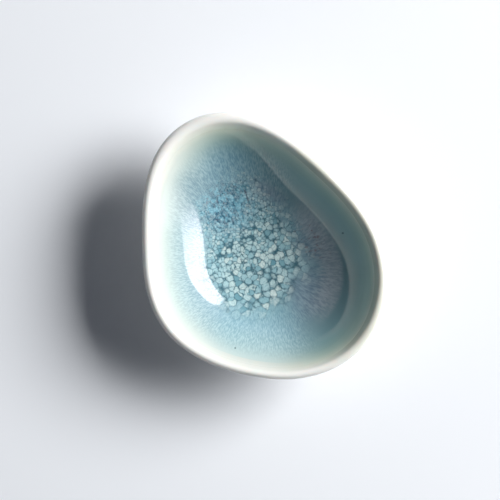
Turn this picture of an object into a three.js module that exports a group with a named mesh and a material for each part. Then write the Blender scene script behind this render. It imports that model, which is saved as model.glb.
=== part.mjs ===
// A small dip bowl in glazed stoneware, with the plan of a pebble: narrow at one end, full at the other.
// The clay shell stands on a foot ring that is luted under it. A white glaze covers the outside and the
// lip, a celadon glaze lines the inside, and a second, crystalline glaze lies pooled on the floor.
// Millimetres, +Z up. The origin is the middle of the bowl's box, on the plane that the foot stands on.
// X runs along the bowl towards its narrow end, and Y runs across it.
//
// Every piece is turned on a lathe whose faceplate is not a circle: a profile of (radius, height) is
// revolved, and each ring is then pushed out from a circle to the pebble outline. Every radius below is
// therefore a mean radius: the real one is longer along the bowl and shorter across it.
import * as THREE from "three";

// Sizes over the glaze.
const bowlLength = 100;
const bowlWidth = 80.3;
const bowlHeight = 29;

// The pebble outline, as shares of its mean radius and as turns in degrees.
const outlineStretch = 0.108;
const outlineTaper = 0.0535;
const outlineTaperTurn = 19.2;
const outlineFlats = 0.0214;
const outlineFlatsTurn = 4.4;

// How far the deepest point lies back from the pole of the outline, away from the narrow end. The rings
// drift there as they shrink.
const deepestBack = 6;

// The clay shell.
const clayLip = 2;
const clayFloor = 4.5;
const floorClearance = 2;
const lipSlope = 54;

// The foot ring.
const footRadius = 21.5;
const footWidth = 4;
const footTaper = 0.7;
const footChamfer = 0.6;

// The glazes. The joint gap is the fused layer between two pieces.
const jointGap = 0.3;
const outerGlaze = 0.5;
const innerGlaze = 0.5;
const innerGlazeFloor = 0.9;
const glazeLineAboveFoot = 2;
const glazeBead = 0.35;
const glazeBeadLength = 3;
const glazeEdgeRound = 0.6;
const glazeEdgeShare = 0.4;
const lipWrap = 4;
const poolRadius = 25;
const poolDepth = 0.8;
const poolEdge = 0.25;
const basePatch = 0.45;
const basePatchMargin = 1;

// How finely the curves are cut.
const sides = 56;
const wallSteps = 11;
const lipSteps = 6;
const lipWrapSteps = 2;
const beadSteps = 4;
const seatSteps = 4;
const poolSteps = 7;
const patchSteps = 5;

const meanRadius = (bowlLength + bowlWidth) / 4;
const outerCoat = jointGap + outerGlaze;
const lipRound = clayLip / 2;
const lipRadius = meanRadius - outerCoat - lipRound;
const lipLevel = bowlHeight - outerCoat - lipRound;
const lipNormal = new THREE.Vector2(
  Math.sin(THREE.MathUtils.degToRad(lipSlope)),
  -Math.cos(THREE.MathUtils.degToRad(lipSlope)),
);
const clayOuter = wallCurve(lipRound, floorClearance);
const clayInner = wallCurve(-lipRound, floorClearance + clayFloor);
const footTopOuter = footRadius + footTaper;
const footTopInner = footRadius - footWidth - footTaper;

// The plan

// The radius of the outline at an angle, as a share of its mean radius.
function pebbleRadius(angle) {
  const taperTurn = THREE.MathUtils.degToRad(outlineTaperTurn);
  const flatsTurn = THREE.MathUtils.degToRad(outlineFlatsTurn);
  return 1
    + outlineStretch * Math.cos(2 * angle)
    + outlineTaper * Math.cos(3 * (angle + taperTurn))
    + outlineFlats * Math.cos(4 * (angle + flatsTurn));
}

// The box of the unit outline, from which the scales along and across the bowl are taken.
function unitOutlineBox() {
  const box = new THREE.Box2();
  const samples = 720;
  for (let i = 0; i < samples; i++) {
    const angle = (2 * Math.PI * i) / samples;
    const radius = pebbleRadius(angle);
    box.expandByPoint(new THREE.Vector2(radius * Math.cos(angle), radius * Math.sin(angle)));
  }
  return box;
}

const unitBox = unitOutlineBox();
const unitSize = unitBox.getSize(new THREE.Vector2());
const unitMiddle = unitBox.getCenter(new THREE.Vector2());
const alongScale = bowlLength / unitSize.x;
const acrossScale = bowlWidth / unitSize.y;

// The plan point at an angle on the ring of a mean radius.
function planPoint(angle, radius) {
  const share = radius / meanRadius;
  const reach = share * pebbleRadius(angle);
  return new THREE.Vector2(
    alongScale * (reach * Math.cos(angle) - unitMiddle.x) - (1 - share) * deepestBack,
    acrossScale * (reach * Math.sin(angle) - unitMiddle.y),
  );
}

// Revolves a profile of (radius, height), then pushes each ring out to the pebble outline.
function pebbleLathe(profile) {
  const geometry = new THREE.LatheGeometry(profile, sides);
  geometry.rotateX(Math.PI / 2);
  const position = geometry.getAttribute("position");
  for (let i = 0; i < position.count; i++) {
    const x = position.getX(i);
    const y = position.getY(i);
    const plan = planPoint(Math.atan2(y, x), Math.hypot(x, y));
    position.setXY(i, plan.x, plan.y);
  }
  geometry.computeVertexNormals();
  return geometry;
}

// The clay's skin

// A side of the clay wall, from the lip down to a height over the table. Its height rises with a power of
// the radius: the floor is nearly level, and the wall flares to reach the lip with the lip's own slope. The
// offset is the way from the middle of the lip's round to this side.
function wallCurve(offset, floorHeight) {
  const radius = lipRadius + offset * lipNormal.x;
  const level = lipLevel + offset * lipNormal.y;
  const depth = level - floorHeight;
  const power = (radius * Math.tan(THREE.MathUtils.degToRad(lipSlope))) / depth;
  return { radius, level, depth, power };
}

// A point of a wall curve and its normal, at a share of the curve's radius: 1 at the lip, 0 in the middle.
function wallStation(curve, share, facing) {
  const point = new THREE.Vector2(
    curve.radius * share,
    curve.level - curve.depth * (1 - share ** curve.power),
  );
  const slope = (curve.depth * curve.power * share ** (curve.power - 1)) / curve.radius;
  return { point, normal: new THREE.Vector2(slope, -1).normalize().multiplyScalar(facing) };
}

// The share at which a wall curve lies a drop below its start at the lip.
function shareAtDrop(curve, drop) {
  return (1 - drop / curve.depth) ** (1 / curve.power);
}

// Stations along a wall curve from one share to another, both ends included.
function wallStations(curve, from, to, facing, steps) {
  const stations = [];
  for (let i = 0; i <= steps; i++) {
    stations.push(wallStation(curve, THREE.MathUtils.lerp(from, to, i / steps), facing));
  }
  return stations;
}

// Stations over the round of the lip, from the outer wall to the inner one, without the two ends.
function lipStations() {
  const stations = [];
  for (let i = 1; i < lipSteps; i++) {
    const normal = lipNormal.clone().rotateAround(new THREE.Vector2(), (Math.PI * i) / lipSteps);
    const point = new THREE.Vector2(lipRadius, lipLevel).addScaledVector(normal, lipRound);
    stations.push({ point, normal });
  }
  return stations;
}

const lipShare = 1;
const middleShare = 0;
const outside = 1;
const inside = -1;

// A station lifted off the clay along its normal. On the axis it stays on the axis.
function lifted(station, height) {
  const point = station.point.clone().addScaledVector(station.normal, height);
  return new THREE.Vector2(Math.max(point.x, 0), point.y);
}

// The way along the skin from the first station to each one.
function distances(stations) {
  const along = [0];
  for (let i = 1; i < stations.length; i++) {
    along.push(along[i - 1] + stations[i].point.distanceTo(stations[i - 1].point));
  }
  return along;
}

// How far a glaze has risen to its full thickness at a distance from an edge that ran and set round.
function edgeRise(distance) {
  const share = Math.min(distance / glazeEdgeRound, 1);
  return glazeEdgeShare + (1 - glazeEdgeShare) * Math.sqrt(share * (2 - share));
}

// The pieces

// The clay shell: outer wall, lip and inner wall in one profile, from the axis to the axis.
function clayBody() {
  const outer = wallStations(clayOuter, middleShare, lipShare, outside, wallSteps);
  const inner = wallStations(clayInner, lipShare, middleShare, inside, wallSteps);
  return pebbleLathe([...outer, ...lipStations(), ...inner].map((station) => station.point));
}

// The foot ring: a tapered strip with a flat sole, and a top that follows the underside of the shell.
function footRing() {
  const seat = wallStations(
    clayOuter,
    footTopOuter / clayOuter.radius,
    footTopInner / clayOuter.radius,
    outside,
    seatSteps,
  );
  const soleInner = footRadius - footWidth;
  const sole = [
    new THREE.Vector2(soleInner, footChamfer),
    new THREE.Vector2(soleInner + footChamfer, 0),
    new THREE.Vector2(footRadius - footChamfer, 0),
    new THREE.Vector2(footRadius, footChamfer),
  ];
  const top = seat.map((station) => lifted(station, jointGap));
  return pebbleLathe([...sole, ...top, sole[0].clone()]);
}

// The white glaze: from the glaze line above the foot, up the outside, over the lip and a little way in.
// It swells to a bead along the glaze line, where it ran down and set.
function outerGlazeCoat() {
  const line = (footTopOuter + glazeLineAboveFoot) / clayOuter.radius;
  const beadEnd = line + glazeBeadLength / clayOuter.radius;
  const stations = [
    ...wallStations(clayOuter, line, beadEnd, outside, beadSteps),
    ...wallStations(clayOuter, beadEnd, lipShare, outside, wallSteps).slice(1),
    ...lipStations(),
    ...wallStations(clayInner, lipShare, shareAtDrop(clayInner, lipWrap), inside, lipWrapSteps),
  ];
  const along = distances(stations);
  const thickness = (distance) => {
    const bead = glazeBead * Math.max(1 - distance / glazeBeadLength, 0) ** 2;
    return (outerGlaze + bead) * edgeRise(distance);
  };
  const over = stations.map((station, i) => lifted(station, jointGap + thickness(along[i])));
  const under = stations.map((station) => lifted(station, jointGap));
  return pebbleLathe([...over, ...under.reverse(), over[0].clone()]);
}

// How thick the lining lies at a mean radius: thin on the wall, where it ran off, and thick on the floor.
function liningThickness(radius) {
  const share = Math.min(radius / clayInner.radius, 1);
  return innerGlazeFloor + (innerGlaze - innerGlazeFloor) * share ** 2;
}

// The celadon glaze that lines the inside. Its edge butts against the white glaze below the lip.
function innerGlazeCoat() {
  const edge = shareAtDrop(clayInner, lipWrap + jointGap);
  const stations = wallStations(clayInner, edge, middleShare, inside, wallSteps);
  const under = stations.map((station) => lifted(station, jointGap));
  const over = stations.map((station) =>
    lifted(station, jointGap + liningThickness(station.point.x)));
  return pebbleLathe([...under.reverse(), ...over]);
}

// The crystalline glaze pooled on the floor of the lining, deepest in the middle.
function crystalPool() {
  const stations = wallStations(clayInner, poolRadius / clayInner.radius, middleShare, inside, poolSteps);
  const bed = (station) => 2 * jointGap + liningThickness(station.point.x);
  const depth = (station) => {
    const share = station.point.x / poolRadius;
    return poolEdge + (poolDepth - poolEdge) * (1 - share ** 2);
  };
  const under = stations.map((station) => lifted(station, bed(station)));
  const over = stations.map((station) => lifted(station, bed(station) + depth(station)));
  return pebbleLathe([...under.reverse(), ...over]);
}

// The patch of white glaze under the floor, inside the foot ring.
function baseGlaze() {
  const edge = (footTopInner - basePatchMargin) / clayOuter.radius;
  const stations = wallStations(clayOuter, edge, middleShare, outside, patchSteps);
  const along = distances(stations);
  const under = stations.map((station) => lifted(station, jointGap));
  const over = stations.map((station, i) =>
    lifted(station, jointGap + basePatch * edgeRise(along[i])));
  return pebbleLathe([...over.reverse(), ...under]);
}

// The finishes

const bareClay = new THREE.MeshStandardMaterial({ color: 0xd9cdbb, roughness: 0.85, metalness: 0 });
const whiteGlaze = new THREE.MeshStandardMaterial({ color: 0xf3f1e9, roughness: 0.12, metalness: 0 });
const celadonGlaze = new THREE.MeshStandardMaterial({ color: 0x9fc4c6, roughness: 0.08, metalness: 0 });
const crystalGlaze = new THREE.MeshStandardMaterial({ color: 0x5f93a4, roughness: 0.06, metalness: 0 });

const bowl = new THREE.Group();

function addPiece(name, geometry, material) {
  const mesh = new THREE.Mesh(geometry, material);
  mesh.name = name;
  bowl.add(mesh);
}

addPiece("clay_body", clayBody(), bareClay);
addPiece("foot_ring", footRing(), bareClay);
addPiece("outer_glaze", outerGlazeCoat(), whiteGlaze);
addPiece("inner_glaze", innerGlazeCoat(), celadonGlaze);
addPiece("crystal_pool", crystalPool(), crystalGlaze);
addPiece("base_glaze", baseGlaze(), whiteGlaze);

export default bowl;
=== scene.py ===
# %% [markdown]
# # A pebble-shaped dip bowl in crystalline glaze
# This notebook dresses a small stoneware bowl. Its plan is a pebble, narrow at one end and full at the
# other. A milk-white glaze covers the outside and the lip. Inside, a celadon glaze runs down the wall in
# fine fibres and pools on the floor, where it has grown pale crystals.
# The exact solids come from the CAD model, which is loaded first and never moved. Blender makes finer
# skins over them and finishes every surface.

# %% The frame
import math
from functools import cached_property

import bmesh
import bpy
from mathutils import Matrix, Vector


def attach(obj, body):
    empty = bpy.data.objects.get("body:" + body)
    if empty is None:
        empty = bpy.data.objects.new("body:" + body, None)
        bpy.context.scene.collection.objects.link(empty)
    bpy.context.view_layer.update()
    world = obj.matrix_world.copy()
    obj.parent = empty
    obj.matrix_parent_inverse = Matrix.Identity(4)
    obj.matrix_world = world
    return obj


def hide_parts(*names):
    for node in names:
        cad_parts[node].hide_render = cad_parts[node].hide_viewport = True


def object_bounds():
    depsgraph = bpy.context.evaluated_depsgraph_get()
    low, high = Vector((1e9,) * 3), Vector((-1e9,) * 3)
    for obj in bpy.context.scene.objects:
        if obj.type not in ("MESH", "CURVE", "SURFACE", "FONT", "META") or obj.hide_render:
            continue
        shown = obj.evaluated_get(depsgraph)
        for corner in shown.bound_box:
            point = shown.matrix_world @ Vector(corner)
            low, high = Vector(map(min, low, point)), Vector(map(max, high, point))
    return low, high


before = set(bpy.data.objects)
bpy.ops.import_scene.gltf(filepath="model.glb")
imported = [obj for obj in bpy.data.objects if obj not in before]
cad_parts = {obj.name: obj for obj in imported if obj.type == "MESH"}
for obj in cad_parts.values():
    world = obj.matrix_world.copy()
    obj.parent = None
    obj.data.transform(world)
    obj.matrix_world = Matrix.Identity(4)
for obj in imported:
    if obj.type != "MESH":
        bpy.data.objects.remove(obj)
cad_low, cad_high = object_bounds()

mm = 0.001
bowl_size = cad_high - cad_low
print("bowl, mm:", [round(side / mm, 1) for side in bowl_size])

# %% [markdown]
# ## The plan of the bowl
# A round bowl is turned on a wheel. This one is pressed into a mould whose rings are all the same pebble.
# A circle becomes that pebble when three gentle waves are added to its radius: one with two crests, which
# stretches it, one with three, which makes one end narrow, and one with four, which flattens the flanks.
# Every radius below is a mean radius, and the real one is longer along the bowl and shorter across it.

# %% The pebble outline
bowl_length = 100 * mm
bowl_width = 80.3 * mm
bowl_height = 29 * mm
outline_waves = (
    (2, 0.108, 0.0),
    (3, 0.0535, math.radians(19.2)),
    (4, 0.0214, math.radians(4.4)),
)


def pebble_radius(angle):
    """The radius of the outline at an angle, as a share of its mean radius."""
    return 1 + sum(height * math.cos(crests * (angle + turn)) for crests, height, turn in outline_waves)


def unit_outline_box():
    """The lowest and highest corner of the outline with a mean radius of one."""
    turns = [math.tau * i / 720 for i in range(720)]
    along = [pebble_radius(turn) * math.cos(turn) for turn in turns]
    across = [pebble_radius(turn) * math.sin(turn) for turn in turns]
    return (min(along), min(across)), (max(along), max(across))


(unit_low_x, unit_low_y), (unit_high_x, unit_high_y) = unit_outline_box()
along_scale = bowl_length / (unit_high_x - unit_low_x)
across_scale = bowl_width / (unit_high_y - unit_low_y)
middle_x = (unit_low_x + unit_high_x) / 2
middle_y = (unit_low_y + unit_high_y) / 2
mean_radius = (bowl_length + bowl_width) / 4
print("mean radius, mm:", round(mean_radius / mm, 2))

# %% [markdown]
# ## The section of the wall
# The floor is nearly level, and the wall bends up out of it and flares to the lip, so a power of the
# radius draws it well. The power follows from how steep the wall is at the lip, on both sides alike.
# A point on such a wall is found from a share: 1 at the lip and 0 in the middle of the floor. The rings
# also drift back as they shrink, because the bowl is deepest towards its full end.
# The glazes are skins on the clay, so each is drawn by lifting such points off the clay along its normal.
# A station is one such point, with its normal.

# %% Sizes of the section
clay_lip = 2 * mm
clay_floor = 4.5 * mm
floor_clearance = 2 * mm
lip_slope = math.radians(54)
deepest_back = 6 * mm
glaze_lift = 0.3 * mm
outer_glaze = 0.5 * mm
lip_wrap = 4 * mm
skin_top = glaze_lift + outer_glaze
lip_round = clay_lip / 2
lip_radius = mean_radius - skin_top - lip_round
lip_level = bowl_height - skin_top - lip_round
lip_normal = Vector((math.sin(lip_slope), -math.cos(lip_slope)))
lip = 1
middle = 0


class WallCurve:
    """One side of the clay wall, at an offset from the middle of the lip's round."""

    def __init__(self, offset, floor_height):
        self.radius = lip_radius + offset * lip_normal.x
        self.level = lip_level + offset * lip_normal.y
        self.depth = self.level - floor_height
        self.power = self.radius * math.tan(lip_slope) / self.depth

    def station(self, share, facing):
        """The point at a share of the radius, and its normal: facing is 1 outside and -1 inside."""
        point = Vector((self.radius * share, self.level - self.depth * (1 - share ** self.power)))
        slope = self.depth * self.power * share ** (self.power - 1) / self.radius
        return point, Vector((slope, -1)).normalized() * facing

    def share_at_drop(self, drop):
        """The share at which the wall lies a drop below its start at the lip."""
        return (1 - drop / self.depth) ** (1 / self.power)


outer_curve = WallCurve(lip_round, floor_clearance)
inner_curve = WallCurve(-lip_round, floor_clearance + clay_floor)
print("powers of the wall, outside and inside:", round(outer_curve.power, 2), round(inner_curve.power, 2))


# %% Stations along the wall and over the lip
def wall_stations(curve, start, end, facing, steps):
    """Stations from one share to another, both ends included."""
    return [curve.station(start + (end - start) * i / steps, facing) for i in range(steps + 1)]


def lip_stations(steps):
    """Stations over the half round of the lip, from the outer wall to the inner one, without its ends."""
    middle_of_round = Vector((lip_radius, lip_level))
    up_the_wall = Vector((math.cos(lip_slope), math.sin(lip_slope)))
    stations = []
    for i in range(1, steps):
        turn = math.pi * i / steps
        normal = lip_normal * math.cos(turn) + up_the_wall * math.sin(turn)
        stations.append((middle_of_round + normal * lip_round, normal))
    return stations


def lifted(station, height):
    """A station's point lifted off the clay, and kept from crossing the axis."""
    point = station[0] + station[1] * height
    return Vector((max(point.x, 0), point.y))


def way_along(stations):
    """The way along the clay from the first station to each one."""
    along = [0.0]
    for before, after in zip(stations, stations[1:]):
        along.append(along[-1] + (after[0] - before[0]).length)
    return along


# %% The way from the middle of the floor
inner_steps = 400
inner_runs = way_along(wall_stations(inner_curve, middle, lip, -1, inner_steps))
wall_run = inner_runs[-1]


def run_at_share(share):
    """The way along the inside of the clay from the middle of the floor to a share of its radius."""
    below = min(int(share * inner_steps), inner_steps - 1)
    return inner_runs[below] + (inner_runs[below + 1] - inner_runs[below]) * (share * inner_steps - below)


print("way from the floor's middle to the lip, mm:", round(wall_run / mm, 1))

# %% [markdown]
# ## A lathe made of Geometry Nodes
# All six pieces are made in the same way: a section is swept round the pebble outline. A Spin or a Screw
# modifier only turns round a circle, so a Geometry Nodes tree does it. It lays out a grid with one column
# for each step round the bowl and one row for each point of the section, then puts each of its vertices
# where the section and the outline say.
# No bowl made by hand is exact, so a slow noise pushes the wall in and out by up to a quarter of a
# millimetre. The push dies out towards the middle of the floor, where all columns meet in one point.
# The tree also writes an attribute called unrolled: the inside of the bowl laid out flat, in millimetres,
# with the middle of the floor at zero. The glaze patterns read it, so that they follow the wall.

# %% A helper that writes node trees
class Graph:
    """Adds nodes to a tree: each call returns an output socket, and takes sockets or plain values."""

    def __init__(self, tree):
        self.tree = tree

    def node(self, kind, inputs=(), **settings):
        made = self.tree.nodes.new(kind)
        for name, value in settings.items():
            setattr(made, name, value)
        for name, value in dict(inputs).items():
            self.feed(made.inputs[name], value)
        return made

    def feed(self, socket, value):
        if isinstance(value, bpy.types.NodeSocket):
            self.tree.links.new(value, socket)
        else:
            socket.default_value = value

    def math(self, operation, *values):
        made = self.node("ShaderNodeMath", operation=operation)
        for socket, value in zip(made.inputs, values):
            self.feed(socket, value)
        return made.outputs[0]

    def times(self, first, *others):
        """The product of sockets and numbers."""
        for other in others:
            first = self.math("MULTIPLY", first, other)
        return first

    def vector(self, x=0.0, y=0.0, z=0.0):
        return self.node("ShaderNodeCombineXYZ", {"X": x, "Y": y, "Z": z}).outputs[0]

    def parts(self, vector):
        return self.node("ShaderNodeSeparateXYZ", {0: vector}).outputs

    def arrange(self):
        """Lays the nodes out in columns from left to right, so that the tree can be read."""
        depth = {made.name: 0 for made in self.tree.nodes}
        for _ in self.tree.nodes:
            for wire in self.tree.links:
                depth[wire.to_node.name] = max(depth[wire.to_node.name], depth[wire.from_node.name] + 1)
        rows = {}
        for made in self.tree.nodes:
            column = depth[made.name]
            rows[column] = rows.get(column, -1) + 1
            made.location = (220 * column, -180 * rows[column])


# %% The tree
swell_scale = 34.0
weld_distance = 2e-6
crisp_bend = math.radians(50)


def pebble_lathe_tree():
    """The Geometry Nodes tree that sweeps a section round the pebble outline."""
    tree = bpy.data.node_groups.new("pebble_lathe", "GeometryNodeTree")
    tree.is_modifier = True
    sockets = tree.interface
    sockets.new_socket("Section", in_out="INPUT", socket_type="NodeSocketGeometry")
    sockets.new_socket("Steps round", in_out="INPUT", socket_type="NodeSocketInt")
    for name in ("Mean radius", "Along scale", "Across scale", "Middle X", "Middle Y",
                 "Deepest back", "Hand wobble"):
        sockets.new_socket(name, in_out="INPUT", socket_type="NodeSocketFloat")
    sockets.new_socket("Finish", in_out="INPUT", socket_type="NodeSocketMaterial")
    sockets.new_socket("Bowl", in_out="OUTPUT", socket_type="NodeSocketGeometry")

    nodes = Graph(tree)
    given = nodes.node("NodeGroupInput").outputs
    size = nodes.node("GeometryNodeAttributeDomainSize", {"Geometry": given["Section"]})
    count = size.outputs["Point Count"]
    columns = nodes.math("ADD", given["Steps round"], 1)
    grid = nodes.node("GeometryNodeMeshGrid", {"Vertices X": columns, "Vertices Y": count})

    index = nodes.node("GeometryNodeInputIndex").outputs[0]
    row = nodes.math("MODULO", index, count)
    column = nodes.math("FLOOR", nodes.math("DIVIDE", nodes.math("ADD", index, 0.5), count))
    angle = nodes.times(nodes.math("DIVIDE", column, given["Steps round"]), math.tau)

    where = nodes.node("GeometryNodeInputPosition").outputs[0]
    on_section = nodes.node("GeometryNodeSampleIndex", {
        "Geometry": given["Section"], "Value": where, "Index": row}, data_type="FLOAT_VECTOR")
    run_there = nodes.node("GeometryNodeInputNamedAttribute", {"Name": "run"}, data_type="FLOAT")
    run = nodes.node("GeometryNodeSampleIndex", {
        "Geometry": given["Section"], "Value": run_there.outputs[0], "Index": row}, data_type="FLOAT")

    outline = 1.0
    for crests, height, turn in outline_waves:
        wave = nodes.math("COSINE", nodes.times(nodes.math("ADD", angle, turn), crests))
        outline = nodes.math("MULTIPLY_ADD", wave, height, outline)
    section_x, _, section_z = nodes.parts(on_section.outputs[0])
    share = nodes.math("DIVIDE", section_x, given["Mean radius"])
    drift = nodes.times(nodes.math("SUBTRACT", 1.0, share), given["Deepest back"])
    reach = nodes.times(share, outline)
    cosine = nodes.math("COSINE", angle)
    sine = nodes.math("SINE", angle)
    plan_x = nodes.math("SUBTRACT", nodes.times(reach, cosine), given["Middle X"])
    plan_y = nodes.math("SUBTRACT", nodes.times(reach, sine), given["Middle Y"])
    along = nodes.math("SUBTRACT", nodes.times(plan_x, given["Along scale"]), drift)
    across = nodes.times(plan_y, given["Across scale"])
    placed = nodes.node("GeometryNodeSetPosition", {
        "Geometry": grid.outputs["Mesh"], "Position": nodes.vector(along, across, section_z)})

    swell = nodes.node("ShaderNodeTexNoise", {
        "Vector": nodes.node("GeometryNodeInputPosition").outputs[0], "Scale": swell_scale, "Detail": 1.0})
    push = nodes.times(nodes.math("SUBTRACT", swell.outputs[0], 0.5), given["Hand wobble"])
    push = nodes.times(push, share)
    outwards = nodes.vector(nodes.times(push, cosine), nodes.times(push, sine))
    wobbled = nodes.node("GeometryNodeSetPosition", {"Geometry": placed.outputs[0], "Offset": outwards})

    run_mm = nodes.math("DIVIDE", run.outputs[0], mm)
    unrolled = nodes.vector(nodes.times(run_mm, cosine), nodes.times(run_mm, sine), run_mm)
    marked = nodes.node("GeometryNodeStoreNamedAttribute", {
        "Geometry": wobbled.outputs[0], "Name": "unrolled", "Value": unrolled}, data_type="FLOAT_VECTOR")
    closed = nodes.node("GeometryNodeMergeByDistance", {
        "Geometry": marked.outputs[0], "Distance": weld_distance})
    smooth = nodes.node("GeometryNodeSetShadeSmooth", {"Geometry": closed.outputs[0]}, domain="FACE")
    bend = nodes.node("GeometryNodeInputMeshEdgeAngle").outputs["Unsigned Angle"]
    crisp = nodes.node("FunctionNodeCompare", {0: bend, 1: crisp_bend}, operation="GREATER_THAN")
    creased = nodes.node("GeometryNodeSetShadeSmooth", {
        "Geometry": smooth.outputs[0], "Selection": crisp.outputs[0], "Shade Smooth": False}, domain="EDGE")
    real = nodes.node("GeometryNodeRealizeInstances", {"Geometry": creased.outputs[0]})
    dressed = nodes.node("GeometryNodeSetMaterial", {
        "Geometry": real.outputs[0], "Material": given["Finish"]})
    nodes.node("NodeGroupOutput", {"Bowl": dressed.outputs[0]})
    nodes.arrange()
    return tree


pebble_lathe = pebble_lathe_tree()
print("lathe nodes:", len(pebble_lathe.nodes))

# %% [markdown]
# ## Turning a piece
# A section is a mesh of points joined by edges, with the way along the inside stored on each point. The
# modifier turns it into the piece, and the result is kept as a plain mesh, because the export and the
# frame both want finished meshes.

# %% From a section to a piece
steps_round = 288
hand_wobble = 0.5 * mm


def section_mesh(name, points, runs):
    """A chain of points as a mesh, with the way along the inside of the bowl on each point."""
    mesh = bpy.data.meshes.new(name)
    edges = [(i, i + 1) for i in range(len(points) - 1)]
    mesh.from_pydata([(point.x, 0, point.y) for point in points], edges, [])
    stored = mesh.attributes.new("run", "FLOAT", "POINT")
    stored.data.foreach_set("value", runs)
    return mesh


def turned(name, points, runs, finish):
    """Sweeps a section round the pebble and returns the piece as a plain mesh object."""
    piece = bpy.data.objects.new(name, section_mesh(name, points, runs))
    bpy.context.scene.collection.objects.link(piece)
    lathe = piece.modifiers.new("pebble_lathe", "NODES")
    lathe.node_group = pebble_lathe
    values = {
        "Steps round": steps_round, "Mean radius": mean_radius, "Along scale": along_scale,
        "Across scale": across_scale, "Middle X": middle_x, "Middle Y": middle_y,
        "Deepest back": deepest_back, "Hand wobble": hand_wobble, "Finish": finish,
    }
    for socket in pebble_lathe.interface.items_tree:
        if socket.name in values:
            lathe[socket.identifier] = values[socket.name]
    graph = bpy.context.evaluated_depsgraph_get()
    mesh = bpy.data.meshes.new_from_object(
        piece.evaluated_get(graph), preserve_all_data_layers=True, depsgraph=graph)
    piece.modifiers.clear()
    piece.data = mesh
    mesh.name = name
    check = bmesh.new()
    check.from_mesh(mesh)
    volume = check.calc_volume(signed=True)
    open_edges = sum(1 for edge in check.edges if not edge.is_manifold)
    check.free()
    print(name, "triangles", sum(len(face.vertices) - 2 for face in mesh.polygons),
          "cm3", round(volume * 1e6, 2), "open edges", open_edges)
    return piece


# %% [markdown]
# ## The way along, over the lip and down the outside
# The glaze patterns are told apart by how far they lie from the middle of the floor. That way goes on
# over the lip and down the outer wall, so the white glaze and the lining agree where they meet.

# %% Helpers for the skins of glaze
wall_steps = 120
lip_steps = 20


def runs_back_from(stations, run_at_end):
    """The way from the floor's middle, for stations that are listed towards it and end at a known one."""
    along = way_along(stations)
    return [run_at_end + along[-1] - step for step in along]


def back_along(stations):
    """Every third station from the last to the first: the hidden side of a glaze needs no more."""
    return stations[:0:-3] + stations[:1]


def edge_rise(distance, length):
    """How far a glaze has risen to its full thickness at a distance from an edge that set round."""
    share = min(distance / length, 1)
    return math.sqrt(share * (2 - share))


print("steps up the wall and over the lip:", wall_steps, lip_steps)

# %% [markdown]
# ## The clay shell
# Buff stoneware, pressed in a mould and pared thinner towards the lip. Almost all of it lies under glaze:
# only a band above the foot stays bare. It is drawn whole, from the middle of the underside, up the outer
# wall, over the lip and down to the middle of the floor, so that it has the real thickness everywhere.

# %% Section of the clay shell
hidden_steps = 60


def clay_section():
    """The whole shell, from the middle of the underside over the lip to the middle of the floor."""
    stations = wall_stations(outer_curve, middle, lip, 1, hidden_steps)
    stations += lip_stations(lip_steps // 2)
    stations += wall_stations(inner_curve, lip, middle, -1, hidden_steps)
    return [station[0] for station in stations], runs_back_from(stations, 0)


print("points in the section of the clay shell:", len(clay_section()[0]))

# %% [markdown]
# ## The foot ring
# A strip of the same clay, luted under the shell and trimmed. Its sole is wiped clean, so that the bowl
# doesn't stick to the kiln shelf, and its edges are rubbed round with a wet sponge. A small fillet of slip
# fills the corner where it meets the shell.

# %% Section of the foot ring
foot_radius = 21.5 * mm
foot_width = 4 * mm
foot_taper = 0.7 * mm
foot_edge = 0.6 * mm
foot_fillet = 0.8 * mm
foot_sink = 0.15 * mm
foot_edge_steps = 8
foot_side_steps = 10
foot_top_steps = 12
foot_top_outer = foot_radius + foot_taper
foot_top_inner = foot_radius - foot_width - foot_taper


def arc(centre, radius, start, end, steps):
    """Points on an arc between two angles in degrees, both ends included."""
    angles = [math.radians(start + (end - start) * i / steps) for i in range(steps + 1)]
    return [centre + Vector((math.cos(angle), math.sin(angle))) * radius for angle in angles]


def clay_underside(radius):
    """The height of the clay's underside at a mean radius."""
    return outer_curve.station(radius / outer_curve.radius, 1)[0].y


def fillet_side(at_sole, at_top, flare_to):
    """Points up a flank of the foot: straight first, then flaring out into the underside of the shell."""
    flare_height = clay_underside(flare_to) + foot_sink
    start = foot_edge
    straight_end = flare_height - 2 * foot_fillet
    lean = (at_top - at_sole) / (flare_height - start)
    points = [Vector((at_sole + lean * (height - start), height)) for height in (start, straight_end)]
    corner = Vector((at_sole + lean * (flare_height - start), flare_height))
    end = Vector((flare_to, flare_height))
    for i in range(1, foot_side_steps + 1):
        share = i / foot_side_steps
        points.append(points[1] * (1 - share) ** 2 + corner * 2 * share * (1 - share) + end * share ** 2)
    return points


def foot_section():
    """The ring's section, with its rounded sole, its fillets, and a top that sinks into the shell."""
    sole_inner = foot_radius - foot_width
    flare_outer = foot_top_outer + foot_fillet
    flare_inner = foot_top_inner - foot_fillet
    outer_edge = arc(Vector((foot_radius - foot_edge, foot_edge)), foot_edge, -90, 0, foot_edge_steps)
    inner_edge = arc(Vector((sole_inner + foot_edge, foot_edge)), foot_edge, 180, 270, foot_edge_steps)
    outer_side = fillet_side(foot_radius, foot_top_outer, flare_outer)
    inner_side = fillet_side(sole_inner, foot_top_inner, flare_inner)
    start = flare_outer / outer_curve.radius
    end = flare_inner / outer_curve.radius
    under_shell = wall_stations(outer_curve, start, end, 1, foot_top_steps)
    top = [lifted(station, -foot_sink) for station in under_shell]
    points = inner_edge + outer_edge + outer_side[1:] + top[1:-1] + inner_side[:0:-1]
    points.append(points[0].copy())
    return points, [point.x for point in points]


print("mean diameter of the foot, mm:", round(2 * foot_radius / mm, 1))

# %% [markdown]
# ## The white glaze
# A thick milk-white glaze, poured over the outside. It ran down, and set in a rolled bead a little above
# the foot. It is drawn from that glaze line, up the outer wall, over the lip and a little way in, and back
# along the clay.

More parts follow.
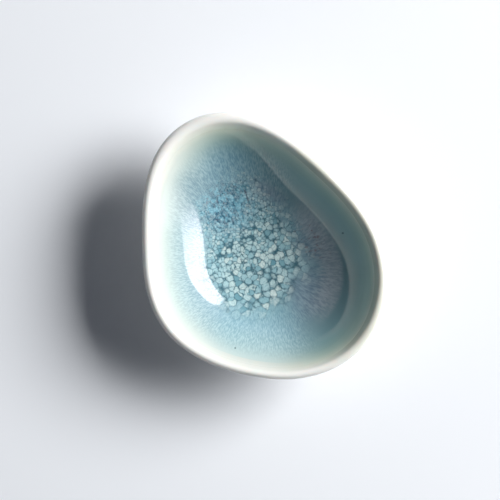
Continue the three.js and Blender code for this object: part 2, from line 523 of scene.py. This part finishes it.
# %% Section of the white glaze
glaze_line_above_foot = 2 * mm
glaze_bead = 0.35 * mm
glaze_bead_length = 3 * mm
glaze_edge_round = 0.6 * mm
glaze_foot = 0.02 * mm
bead_steps = 16
wrap_steps = 16
joint_share = inner_curve.share_at_drop(lip_wrap)


def white_section():
    """The coat from its line above the foot, over the lip, to its joint with the lining, and back."""
    line = (foot_top_outer + glaze_line_above_foot) / outer_curve.radius
    bead_end = line + glaze_bead_length / outer_curve.radius
    stations = wall_stations(outer_curve, line, bead_end, 1, bead_steps)
    stations += wall_stations(outer_curve, bead_end, lip, 1, wall_steps)[1:]
    stations += lip_stations(lip_steps)
    stations += wall_stations(inner_curve, lip, joint_share, -1, wrap_steps)
    runs = runs_back_from(stations, run_at_share(joint_share))
    over = []
    for station, distance in zip(stations, way_along(stations)):
        bead = glaze_bead * max(1 - distance / glaze_bead_length, 0) ** 2
        rise = edge_rise(distance, glaze_edge_round)
        over.append(lifted(station, max((skin_top + bead) * rise, glaze_foot)))
    under = [lifted(station, 0) for station in back_along(stations)]
    return over + under + [over[0].copy()], runs + back_along(runs) + runs[:1]


print("way to the joint of the two glazes, mm:", round(run_at_share(joint_share) / mm, 1))

# %% [markdown]
# ## The celadon lining and the pool of crystals
# A transparent green-blue glaze lines the inside. It ran off the wall and gathered on the floor, where a
# second glaze, rich in zinc, grew crystals as the kiln cooled. The pool lies on the lining and thins out
# to nothing, so no step shows. Both share one finish, which knows where it is from the unrolled attribute.
# A small patch of the white glaze covers the underside within the foot ring.

# %% Sections of the lining, the pool and the patch under the floor
inner_glaze = 0.5 * mm
inner_glaze_floor = 0.9 * mm
pool_radius = 25 * mm
pool_depth = 1.1 * mm
patch_margin = 1 * mm
patch_thickness = 0.45 * mm
past_the_outside = 2 * wall_run
joint_radius = inner_curve.radius * joint_share


def lining_height(radius):
    """How far the lining's surface lies off the clay at a mean radius."""
    share = min(radius / joint_radius, 1)
    return glaze_lift + inner_glaze_floor + (inner_glaze - inner_glaze_floor) * share ** 2


def pool_height(radius):
    """How far the pool's surface lies off the clay: it is fullest in the middle of the floor."""
    fullness = (1 - (radius / pool_radius) ** 2) ** 2
    return lining_height(radius) + pool_depth * fullness


def inside_section(start, height_over, height_under):
    """A skin on the inside, between two heights, from a share of the radius to the floor's middle."""
    stations = wall_stations(inner_curve, start, middle, -1, wall_steps)
    runs = runs_back_from(stations, 0)
    over = [lifted(station, height_over(station[0].x)) for station in stations]
    under = [lifted(station, height_under(station[0].x)) for station in back_along(stations)]
    return under + over, back_along(runs) + runs


def lining_section():
    """The lining from its joint with the white glaze down, on the bare clay."""
    return inside_section(joint_share, lining_height, lambda radius: 0)


def pool_section():
    """The pool, which thins out to nothing at its edge, and whose underside lies just in the lining."""
    start = pool_radius / inner_curve.radius
    return inside_section(start, pool_height, lambda radius: lining_height(radius) - glaze_foot)


def patch_section():
    """The patch of white glaze inside the foot ring."""
    edge = (foot_top_inner - patch_margin) / outer_curve.radius
    stations = wall_stations(outer_curve, edge, middle, 1, hidden_steps)
    over = [lifted(station, patch_thickness * edge_rise(distance, glaze_edge_round) + glaze_foot)
            for station, distance in zip(stations, way_along(stations))]
    under = [lifted(station, 0) for station in stations]
    runs = [past_the_outside for _ in stations]
    return over[::-1] + under, runs + runs


print("depth and mean radius of the pool, mm:", round(pool_depth / mm, 2), round(pool_radius / mm, 1))

# %% [markdown]
# ## Finishes
# Every finish is a node tree of its own, built from noise and cells. A pattern that ran down the wall with
# the glaze is laid on the unrolled inside of the bowl. One that spread over the floor is laid on the plan,
# and one that belongs to the clay or the glaze itself is laid in the body. No picture is used.

# %% Helpers for the finishes
least_run = 0.01


def paint(hexadecimal):
    """A colour written as on screen, such as 9fc4c6, in the linear values that a shader wants."""
    channels = [int(hexadecimal[i:i + 2], 16) / 255 for i in (0, 2, 4)]
    linear = [channel / 12.92 if channel <= 0.04045 else ((channel + 0.055) / 1.055) ** 2.4
              for channel in channels]
    return (*linear, 1.0)


class Finish(Graph):
    """A material whose nodes are written with short calls."""

    def __init__(self, name):
        self.name = name
        self.material = bpy.data.materials.new(name)
        self.material.use_nodes = True
        super().__init__(self.material.node_tree)
        self.surface = self.tree.nodes["Principled BSDF"]

    @cached_property
    def body(self):
        """The place in the body of the bowl, in metres."""
        return self.node("ShaderNodeTexCoord").outputs["Object"]

    @cached_property
    def plan(self):
        """The place seen from straight above, in millimetres."""
        x, y, _ = self.parts(self.body)
        return self.vector(self.math("DIVIDE", x, mm), self.math("DIVIDE", y, mm), 0.0)

    @cached_property
    def unrolled(self):
        """The place on the unrolled inside: along, across, and the way from the floor's middle."""
        place = self.node("ShaderNodeAttribute", attribute_name="unrolled").outputs["Vector"]
        return tuple(self.parts(place))

    @cached_property
    def run(self):
        """The way from the floor's middle, in millimetres."""
        return self.unrolled[2]

    @cached_property
    def heading(self):
        """The direction from the floor's middle, as its cosine and its sine."""
        along, across, run = self.unrolled
        safe_run = self.math("MAXIMUM", run, least_run)
        return self.math("DIVIDE", along, safe_run), self.math("DIVIDE", across, safe_run)

    def flow(self, round_scale, run_scale):
        """A place whose patterns are drawn out along the flow, down the wall."""
        cosine, sine = self.heading
        return self.vector(
            self.times(cosine, round_scale), self.times(sine, round_scale), self.times(self.run, run_scale))

    def rise(self, value, low, high, start=0.0, end=1.0):
        """A soft change from 0 at a low value to 1 at a high one."""
        made = self.node("ShaderNodeMapRange", {
            "Value": value, "From Min": low, "From Max": high, "To Min": start, "To Max": end,
        }, interpolation_type="SMOOTHSTEP")
        return made.outputs[0]

    def fall(self, value, low, high):
        """A soft change from 1 at a low value to 0 at a high one."""
        return self.rise(value, low, high, 1.0, 0.0)

    def band(self, value, start, end):
        """One between two soft edges, each given by the values between which it changes."""
        return self.times(self.rise(value, *start), self.fall(value, *end))

    def mix(self, share, first, second, how="MIX"):
        """A blend of two colours, or of a place and the noise that pushes it about."""
        made = self.node("ShaderNodeMix", {0: share, 6: first, 7: second}, data_type="RGBA", blend_type=how)
        return made.outputs[2]

    def ramp(self, value, stops):
        """The colour that a value has on a scale with a colour at each stop."""
        made = self.node("ShaderNodeValToRGB", {0: value})
        band = made.color_ramp
        while len(band.elements) < len(stops):
            band.elements.new(0.5)
        for element, (position, shade) in zip(band.elements, stops):
            element.position = position
            element.color = paint(shade)
        return made.outputs[0]

    def noise(self, vector, scale=1.0, detail=2.0, rough=0.5):
        return self.node("ShaderNodeTexNoise", {
            "Vector": vector, "Scale": scale, "Detail": detail, "Roughness": rough}).outputs[0]

    def uneven(self, vector, scale, amount):
        """Noise that swings about zero, by up to half an amount either way."""
        return self.times(self.math("SUBTRACT", self.noise(vector, scale, 3.0), 0.5), amount)

    def cells(self, vector, scale=1.0, feature="F1"):
        return self.node("ShaderNodeTexVoronoi", {"Vector": vector, "Scale": scale}, feature=feature).outputs

    def bump(self, height, strength, distance, below=None):
        """The normal of a surface whose height changes, on top of a bump that lies below it."""
        values = {"Height": height, "Strength": strength, "Distance": distance}
        if below is not None:
            values["Normal"] = below
        return self.node("ShaderNodeBump", values).outputs[0]

    def done(self, colour, roughness, normal=None, **values):
        """Feeds the surface, sets its plain values, and returns the material."""
        self.feed(self.surface.inputs["Base Color"], colour)
        self.feed(self.surface.inputs["Roughness"], roughness)
        if normal is not None:
            self.feed(self.surface.inputs["Normal"], normal)
        for name, value in values.items():
            self.surface.inputs[name.replace("_", " ")].default_value = value
        self.arrange()
        print(self.name, "nodes", len(self.tree.nodes))
        return self.material


# %% [markdown]
# ## Directions of the picture
# Places on the inside are given as seen in the picture, which looks straight down: a direction, where 0 is
# right and 90 is up, and a way in millimetres from the pole that the pebble's rings shrink to.
# A spot is such a place with two radii: the core, where it is whole, and the rim, where it has faded out.
# A side of the wall is given as a direction that it faces, and the two cosines between which it sets in.

# %% Places as seen in the picture
picture_turn = math.radians(-126)
pole = Vector((-middle_x * along_scale, -middle_y * across_scale)) / mm


def seen_turn(azimuth):
    """The angle on the plan of a direction of the picture."""
    return math.radians(azimuth) + picture_turn


def seen_place(azimuth, way):
    """The place on the plan, in millimetres, of a spot seen in a direction of the picture."""
    turn = seen_turn(azimuth)
    return (pole.x + way * math.cos(turn), pole.y + way * math.sin(turn), 0.0)


def reach_towards(look, x, y, turn):
    """How far an offset on the plan reaches in a direction."""
    return look.math("ADD", look.times(x, math.cos(turn)), look.times(y, math.sin(turn)))


def apart(look, azimuth, way):
    """The distance in millimetres from a place of the picture."""
    pair = {0: look.plan, 1: seen_place(azimuth, way)}
    return look.node("ShaderNodeVectorMath", pair, operation="DISTANCE").outputs["Value"]


def spot_share(look, azimuth, way, core, rim):
    """One within the core of a spot, and zero beyond its rim."""
    return look.fall(apart(look, azimuth, way), core, rim)


def greatest_share(look, spots):
    """The greatest share of several spots."""
    share = 0.0
    for spot in spots:
        share = look.math("MAXIMUM", share, spot_share(look, *spot))
    return share


def side_share(look, azimuth, low, high):
    """How far the wall faces a direction: zero at a low cosine of the angle and one at a high one."""
    cosine, sine = look.heading
    return look.rise(reach_towards(look, cosine, sine, seen_turn(azimuth)), low, high)


print("pole of the rings on the plan, mm:", [round(value, 2) for value in pole])

# %% [markdown]
# ## The glaze on the wall
# Where the glaze ran thin, at the lip, the white shows through. Lower down it thickens, and turns from
# cream through celadon to a sea blue. The bowl was tilted when the glaze was poured out, so the colour
# reaches higher on the side it ran off. The change of colour depends on the way from the floor's middle
# and on the side, so one function makes it for the lining and for the white glaze alike.

# %% The colour of the wall by its way from the floor's middle
full_scale = 60.0
thin_side = (
    (0.0, "83a2a9"), (12.0, "82a2a9"), (18.0, "86a4ac"), (24.0, "90aab3"), (28.0, "9bb3bc"),
    (33.0, "a2b7ba"), (37.0, "afc0bf"), (41.0, "c0cdc8"), (45.0, "d5dbd4"), (49.0, "ebeae2"),
    (54.0, "f7f5ef"),
)
thick_side = (
    (0.0, "83a2a9"), (12.0, "7c9fa9"), (18.0, "789aa6"), (24.0, "7e9ca7"), (30.0, "83a3ac"),
    (36.0, "82a6ad"), (40.0, "89acae"), (42.5, "98b7b2"), (45.0, "b6cdc1"), (47.5, "dde6d5"),
    (50.0, "f4f4e8"),
)
thick_facing = (25, -0.45, 0.3)


def colour_by_run(look, stops):
    """The colour at the way from the floor's middle, from a list of ways and colours."""
    shares = [(way / full_scale, shade) for way, shade in stops]
    return look.ramp(look.math("DIVIDE", look.run, full_scale), shares)


def wall_colour(look):
    """The colour of the inner wall, blended from the thin side of the glaze to the thick one."""
    thick = side_share(look, *thick_facing)
    return look.mix(thick, colour_by_run(look, thin_side), colour_by_run(look, thick_side))


print("colours on the thin and the thick side:", len(thin_side), len(thick_side))

# %% [markdown]
# ## The finish of the white glaze
# This glaze is white because fine bubbles and crystals in it scatter the light. A plain white gloss would
# look like plastic, so the light goes a little way into it, under a thin clear coat. Slow waves, faint
# clouds and fine pits show that it was poured. Just above the foot it thins, and the clay warms it.
# Inside the lip it has the wall's colour, so the two glazes meet unseen. A fine raised line runs there: the
# lining came up to it and left a greenish film beyond it, on the side where it was poured out. On that side
# the top of the line is painted pale: a painted highlight.

# %% The white glaze
lip_run = wall_run / mm
line_run = 47.6
film_start = (line_run + 0.1, line_run + 0.5)
film_end = (51.0, 54.0)
thinned_from = lip_run + 34
thinned_to = lip_run + 44
ran_off_facing = (10, 0.3, 0.7)


def line_share(look, half_width):
    """One on the raised line, and zero beyond a half width on either side."""
    return look.band(look.run, (line_run - half_width, line_run), (line_run, line_run + half_width))


def milk_white(look):
    """Clouded milk-white, warmer where it thins above the foot."""
    milk = look.mix(look.noise(look.body, scale=90.0, detail=3.0), paint("f3f1ea"), paint("f8f6f1"))
    thinned = look.rise(look.run, thinned_from, thinned_to)
    return look.mix(look.times(thinned, 0.35), milk, paint("e6dcc6"))


def film_and_painted_highlight(look, colour):
    """The greenish film beyond the raised line, and a painted highlight along the top of the line."""
    ran_off = side_share(look, *ran_off_facing)
    film = look.times(look.band(look.run, film_start, film_end), ran_off)
    colour = look.mix(look.times(film, 0.35), colour, paint("8f9a78"))
    # Painted highlight: the top of the raised line is painted pale on the side where the film lies.
    line_painted_highlight = look.times(line_share(look, 0.45), ran_off)
    return look.mix(look.times(line_painted_highlight, 0.5), colour, paint("f4f4e6"))


def white_glaze_relief(look):
    """Slow waves, fine pits and the raised line."""
    waves = look.bump(look.noise(look.body, scale=60.0), 0.25, 0.4 * mm)
    pits = look.rise(look.cells(look.body, 900.0)[0], 0.05, 0.12)
    pitted = look.bump(pits, 0.15, 0.05 * mm, waves)
    return look.bump(line_share(look, 0.35), 0.9, 0.06 * mm, pitted)


def white_glaze_finish():
    """White outside and over the lip, and in the wall's colour where it reaches inside."""
    look = Finish("white_glaze")
    inside = look.fall(look.run, lip_run - 0.5, lip_run + 1)
    colour = film_and_painted_highlight(look, look.mix(inside, milk_white(look), wall_colour(look)))
    look.surface.inputs["Subsurface Radius"].default_value = (1.0, 0.7, 0.6)
    return look.done(
        colour, 0.1, white_glaze_relief(look), Coat_Weight=0.3, Coat_Roughness=0.04,
        Subsurface_Weight=0.35, Subsurface_Scale=1.6 * mm)


white_glaze = white_glaze_finish()

# %% [markdown]
# ## The crystals on the floor
# Zinc crystals grow from seeds until they touch, like frost on a window, so Voronoi cells are their
# natural pattern: pale flakes, parted by thin dark seams of the glass that was left. They are small at one
# end of the floor and grow steadily larger towards the other. Cells on a logarithmic polar grid do just
# that: every cell is as wide as it is long, and its size is a fixed share of its distance from the grid's
# origin, which lies out on the wall.

# %% Flakes that grow with the distance from an origin
flake_origin = (128, 34)
flake_share = 0.05
flake_jog = 0.3
flake_rag = 0.1
seam_uneven = 0.45
seam_edge = (-0.06, 0.13)
corner_edge = (0.48, 0.92)
flake_shades = (
    (0.0, "6c9aa6"), (0.15, "96bdc5"), (0.5, "b2d0d4"), (0.8, "c4dbda"), (1.0, "d3e3df"),
)


def flake_grid(look):
    """A place on the logarithmic polar grid, on which every flake is about one unit wide."""
    toward_floor = seen_turn(flake_origin[0] + 180)
    pair = {0: look.plan, 1: seen_place(*flake_origin)}
    offset = look.node("ShaderNodeVectorMath", pair, operation="SUBTRACT").outputs[0]
    x, y, _ = look.parts(offset)
    ahead = reach_towards(look, x, y, toward_floor)
    aside = reach_towards(look, x, y, toward_floor + math.pi / 2)
    distance = look.node("ShaderNodeVectorMath", {0: offset}, operation="LENGTH").outputs["Value"]
    return look.vector(
        look.math("DIVIDE", look.math("LOGARITHM", distance, math.e), flake_share),
        look.math("DIVIDE", look.math("ARCTAN2", aside, ahead), flake_share))


def noise_push(look, place, scale):
    """Noise that pushes a place about in every direction."""
    return look.node("ShaderNodeTexNoise", {"Vector": place, "Scale": scale, "Detail": 3.0}).outputs[1]


def growing_flakes(look):
    """How far a place lies in a flake and off its seams, and two random numbers for each flake."""
    grid = flake_grid(look)
    jogged = look.mix(flake_jog, grid, noise_push(look, grid, 1.3), "LINEAR_LIGHT")
    ragged = look.mix(flake_rag, jogged, noise_push(look, grid, 4.5), "LINEAR_LIGHT")
    seam = look.cells(ragged, 1.0, "DISTANCE_TO_EDGE")[0]
    uneven = look.uneven(ragged, 1.7, seam_uneven)
    cell = look.cells(ragged, 1.0)
    off_the_seam = look.rise(look.math("ADD", seam, uneven), *seam_edge)
    rounded = look.fall(cell[0], *corner_edge)
    chance, other_chance, _ = look.parts(cell[1])
    return look.times(off_the_seam, rounded), chance, other_chance


# %% The floor and how far its crystals reach
blue_spot = (124, 20, 3, 15)
field_middle = (-105, 3)
small_flakes_middle = (118, 14)
small_flakes_short = 4.0
field_edge = (16.0, 25.0)
field_ragged = 9.0
flake_scatter = 5.0


def crystal_floor(look, flake, chance):
    """Flakes and seams with a fine grain, and blue streaks among the smallest flakes."""
    seam_shade = look.mix(look.noise(look.plan, scale=0.16, detail=3.0), paint("2c5563"), paint("47636e"))
    floor = look.mix(flake, seam_shade, look.ramp(chance, flake_shades))
    grain = look.rise(look.noise(look.plan, scale=1.9, detail=3.0, rough=0.7), 0.38, 0.6)
    floor = look.mix(look.times(look.math("SUBTRACT", 1.0, grain), 0.42), floor, paint("5e8f9e"))
    streak = look.rise(look.noise(look.flow(15.0, 0.45), detail=3.0, rough=0.65), 0.42, 0.58)
    streaks = look.mix(streak, paint("2c5b79"), paint("82c0d6"))
    return look.mix(look.times(spot_share(look, *blue_spot), 0.6), floor, streaks)


def crystal_share(look, other_chance):
    """One where the crystals grew. The field's edge is ragged, and every flake fades by its own chance."""
    short = look.math("ADD", apart(look, *small_flakes_middle), small_flakes_short)
    near = look.math("MINIMUM", apart(look, *field_middle), short)
    ragged = look.uneven(look.plan, 0.45, field_ragged)
    distance = look.math("MULTIPLY_ADD", other_chance, flake_scatter, look.math("ADD", near, ragged))
    return look.fall(distance, *field_edge)


print("a flake 30 mm from the origin is about", round(30 * flake_share, 1), "mm wide")

# %% [markdown]
# ## The finish of the lining
# On the real wall the colour is broken up by broad stains, where the glaze ran thick or thin, and by fine
# fibres that follow its flow. Mauve veins and a little rust lie round the crystals, and two pinholes mark
# where bubbles burst. A painted picture could show all this, but it would smear where the wall is steep.
# Here each kind of mark is a short function that lays its own pattern over the colour so far, so that one
# can be changed without touching the rest. A stain is listed with its strength, its colour and its spot.

# %% The marks on the wall
wall_stains = {
    "slate": (0.5, "66818c", (140, 28, 4, 14)),
    "deep blue": (0.4, "4f88a2", (108, 31, 3, 13)),
    "turquoise": (0.25, "74b8c8", (-92, 28, 6, 22)),
    "pale": (0.45, "dfe6e0", (153, 37, 3, 12)),
    "milky": (0.12, "dcebe4", (-90, 38, 6, 16)),
}
mauve_spots = ((12, 25, 4, 15), (-35, 25, 3, 13), (75, 27, 3, 13))
rust_spots = ((125, 23, 4, 14), (15, 22, 3, 12))
fibre_reach = ((12.0, 22.0), (34.0, 46.0))
mauve_end = (25.0, 31.0)
# Painted light: the pale grey veins lighten the shade on the wall that faces away from the softbox.
painted_light_reach = ((19.0, 27.0), (30.0, 33.0))
rust_reach = ((13.0, 19.0), (25.0, 30.0))
painted_light_facing = (6, 0.5, 0.92)
smooth_from = (24.0, 29.0)
smooth_facing = (5, 0.25, 0.6)
pinholes = ((12.7, 30.9, 0.2, 0.5), (-103, 34.4, 0.15, 0.4))


def stained_wall(look):
    """The colour of the wall with its broad stains."""
    wall = wall_colour(look)
    for strength, shade, spot in wall_stains.values():
        wall = look.mix(look.times(spot_share(look, *spot), strength), wall, paint(shade))
    return wall


def fibred(look, wall):
    """Dark and pale fibres half-way up the wall, but none on the smooth band of one side."""
    fibre = look.rise(look.noise(look.flow(96.0, 0.6), rough=0.6), 0.38, 0.64)
    dark = look.mix(0.22, wall, paint("2f7796"))
    pale = look.mix(0.22, wall, paint("d6f4f8"))
    smooth_band = look.times(side_share(look, *smooth_facing), look.rise(look.run, *smooth_from))
    share = look.times(look.band(look.run, *fibre_reach), look.math("SUBTRACT", 1.0, smooth_band))
    return look.mix(share, wall, look.mix(fibre, dark, pale))


def veined(look, colour):
    """Mauve veins beside the crystals, and pale grey veins above them on one side, painted pale as painted
    light that lightens the shade there.
    """
    veins = look.rise(look.noise(look.flow(36.0, 0.35), detail=3.0, rough=0.65), 0.38, 0.62)
    mauve = look.mix(veins, paint("6b7c90"), paint("9aabb9"))
    mauve_share = look.times(greatest_share(look, mauve_spots), look.fall(look.run, *mauve_end))
    colour = look.mix(look.times(mauve_share, 0.6), colour, mauve)
    # Painted light: grey streaks, painted pale to lighten the shade on the side that faces away from the
    # softbox.
    painted_light_grey = look.mix(veins, paint("b0bac6"), paint("d2d8dd"))
    painted_light_share = look.times(look.band(look.run, *painted_light_reach), side_share(look, *painted_light_facing))
    return look.mix(look.times(painted_light_share, 0.62), colour, painted_light_grey)


def rusted(look, colour):
    """A few rusty streaks where the flakes are smallest, and on the right."""
    streaks = look.rise(look.noise(look.flow(17.0, 0.5), detail=3.0), 0.56, 0.72)
    streaks = look.times(streaks, look.band(look.run, *rust_reach))
    share = look.times(streaks, look.times(greatest_share(look, rust_spots), 0.6))
    return look.mix(share, colour, paint("86625f"))


# %% The lining and the pool
def celadon_finish(name):
    """The finish of the lining and of the pool: the wall, the crystals, and the marks over both."""
    look = Finish(name)
    wall = fibred(look, stained_wall(look))
    flake, chance, other_chance = growing_flakes(look)
    floor = crystal_floor(look, flake, chance)
    colour = look.mix(crystal_share(look, other_chance), wall, floor)
    colour = rusted(look, veined(look, colour))
    colour = look.mix(look.times(greatest_share(look, pinholes), 0.75), colour, paint("2f4c54"))
    ripple = look.bump(look.noise(look.flow(60.0, 0.3)), 0.12, 0.1 * mm)
    return look.done(colour, 0.06, ripple, Coat_Weight=0.3, Coat_Roughness=0.03)


celadon = celadon_finish("celadon_glaze")
crystal = celadon_finish("crystal_glaze")

# %% [markdown]
# ## The finish of the bare clay
# Fired stoneware is dry and a little rough, with brown specks of iron. Noise makes its clouds and its
# grain. The specks are the middles of cells, because cells keep them apart, where noise would clump them.

# %% Bare clay
def bare_clay_finish():
    """Clouded buff clay with specks of iron and a fine grain."""
    look = Finish("bare_clay")
    colour = look.mix(look.noise(look.body, scale=120.0, detail=4.0), paint("cdbd9f"), paint("dccfb6"))
    speck = look.fall(look.cells(look.body, 420.0)[0], 0.1, 0.17)
    colour = look.mix(look.times(speck, 0.5), colour, paint("6e5138"))
    grain = look.bump(look.noise(look.body, scale=1500.0, detail=3.0), 0.5, 0.12 * mm)
    return look.done(colour, 0.8, grain)


bare_clay = bare_clay_finish()

# %% [markdown]
# ## Making the pieces
# Each piece is swept from its section and given its finish. It then rides on the one body and stands in
# for its CAD node. One loop does this for all six, because they differ only in these five words.

# %% The six pieces
for name, section, finish, node, slot in (
    ("clay_shell", clay_section, bare_clay, "clay_body", "bare_clay"),
    ("foot_ring", foot_section, bare_clay, "foot_ring", "bare_clay"),
    ("white_glaze_coat", white_section, white_glaze, "outer_glaze", "white_glaze"),
    ("celadon_lining", lining_section, celadon, "inner_glaze", "celadon_glaze"),
    ("pool_of_crystals", pool_section, crystal, "crystal_pool", "crystal_glaze"),
    ("glaze_under_the_floor", patch_section, white_glaze, "base_glaze", "white_glaze"),
):
    piece = turned(name, *section(), finish)
    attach(piece, "root")
    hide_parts(node)

# %% [markdown]
# ## The table
# The bowl stands on a pale sheet that runs out of the picture on every side and catches the soft shadow.
# One plain square is enough, because no edge or bend of it is ever seen.

# %% The sheet
sheet_size = 6.0
sheet_finish = Finish("pale_sheet").done(paint("eff2f6"), 0.7)
bpy.ops.mesh.primitive_plane_add(size=sheet_size)
sheet = bpy.context.object
sheet.name = "pale_sheet"
sheet.data.materials.append(sheet_finish)

# %% [markdown]
# ## Light
# The picture was taken from straight above, with a softbox on the right and a little bluish light from
# everywhere else. The softbox throws one soft shadow to the left, and its long front draws one bright
# strip in the glaze. The shadow and the strip ask for slightly different panels, so there are two: one
# lights the scene, and the other is only seen in the glaze. A plain panel is too even for either, because
# a softbox is brightest near its lamp, so both fade towards one end, and their corners are rounded.
# Directions are given as seen in the picture, where 0 is right and 90 is up.

# %% A panel of light
corner_power = 5.0
corner_end = 1.08
corner_start = 0.92


def seen_from(azimuth, height, distance):
    """A place at a distance, in a direction of the picture and at an angle above the table."""
    turn = seen_turn(azimuth)
    rise = math.radians(height)
    level = math.cos(rise)
    return Vector((math.cos(turn) * level, math.sin(turn) * level, math.sin(rise))) * distance


def panel(name, azimuth, height, distance, size, roll, power):
    """A flat lamp that faces the bowl, rolled about the line from the bowl to it."""
    light = bpy.data.lights.new(name, "AREA")
    light.shape = "RECTANGLE"
    light.size, light.size_y = size
    light.energy = power
    lamp = bpy.data.objects.new(name, light)
    lamp.location = seen_from(azimuth, height, distance)
    lamp.rotation_euler = lamp.location.to_track_quat("Z", "Y").to_euler()
    lamp.rotation_euler.rotate_axis("Z", math.radians(roll))
    bpy.context.scene.collection.objects.link(lamp)
    print(name, "size, m:", size, "power, W:", power)
    return lamp


def soft_end(light, dark_until, full_from):
    """Rounds the corners of a panel, and lets it fade out towards one end."""
    light.use_nodes = True
    nodes = Graph(light.node_tree)
    along, across, _ = nodes.parts(nodes.node("ShaderNodeNewGeometry").outputs["Parametric"])
    powers = []
    for way in (along, across):
        from_middle = nodes.math("ABSOLUTE", nodes.math("MULTIPLY_ADD", way, 2.0, -1.0))
        powers.append(nodes.math("POWER", from_middle, corner_power))
    inside = nodes.node("ShaderNodeMapRange", {
        "Value": nodes.math("ADD", *powers), "From Min": corner_end, "From Max": corner_start})
    fade = nodes.node("ShaderNodeMapRange", {
        "Value": along, "From Min": dark_until, "From Max": full_from}, interpolation_type="SMOOTHSTEP")
    strength = nodes.times(inside.outputs[0], fade.outputs[0])
    nodes.feed(light.node_tree.nodes["Emission"].inputs["Strength"], strength)


# %% The softbox and the sky
softbox = panel("softbox", azimuth=14, height=35.2, distance=1.7, size=(1.46, 0.86), roll=5.5, power=73.0)
softbox.visible_glossy = False
soft_end(softbox.data, 0.0, 0.55)

glow = panel(
    "softbox_in_the_glaze", azimuth=12.7, height=33.9, distance=0.9, size=(0.93, 0.38), roll=25.3, power=12.0)
glow.visible_diffuse = False
glow.data.color = (1.0, 0.91, 0.94)
soft_end(glow.data, -0.06, 0.42)

sky = bpy.data.worlds.new("sky")
sky.use_nodes = True
sky_light = sky.node_tree.nodes["Background"]
sky_light.inputs["Color"].default_value = paint("e6eeff")
sky_light.inputs["Strength"].default_value = 0.09
bpy.context.scene.world = sky

# %% [markdown]
# ## The camera
# It looks straight down on the table from 64 cm, so that the outline of the bowl is seen true. It is
# turned as the bowl lies in the picture. The lens could be found by trying, but here it follows from
# how wide a field the picture shows at the height of the lip.

# %% The camera
camera_height = 0.64
camera_place = (0.884 * mm, -0.171 * mm)
seen_lip_height = 27 * mm
field_at_lip = 173.8 * mm
sensor_width = 36
camera_data = bpy.data.cameras.new("camera")
camera_data.lens = sensor_width * (camera_height - seen_lip_height) / field_at_lip
camera_data.sensor_width = sensor_width
camera = bpy.data.objects.new("camera", camera_data)
camera.location = (*camera_place, camera_height)
camera.rotation_euler = (0, 0, picture_turn)
bpy.context.scene.collection.objects.link(camera)
bpy.context.scene.camera = camera
bpy.context.scene.view_settings.view_transform = "Standard"
print("lens, mm:", round(camera_data.lens, 1))
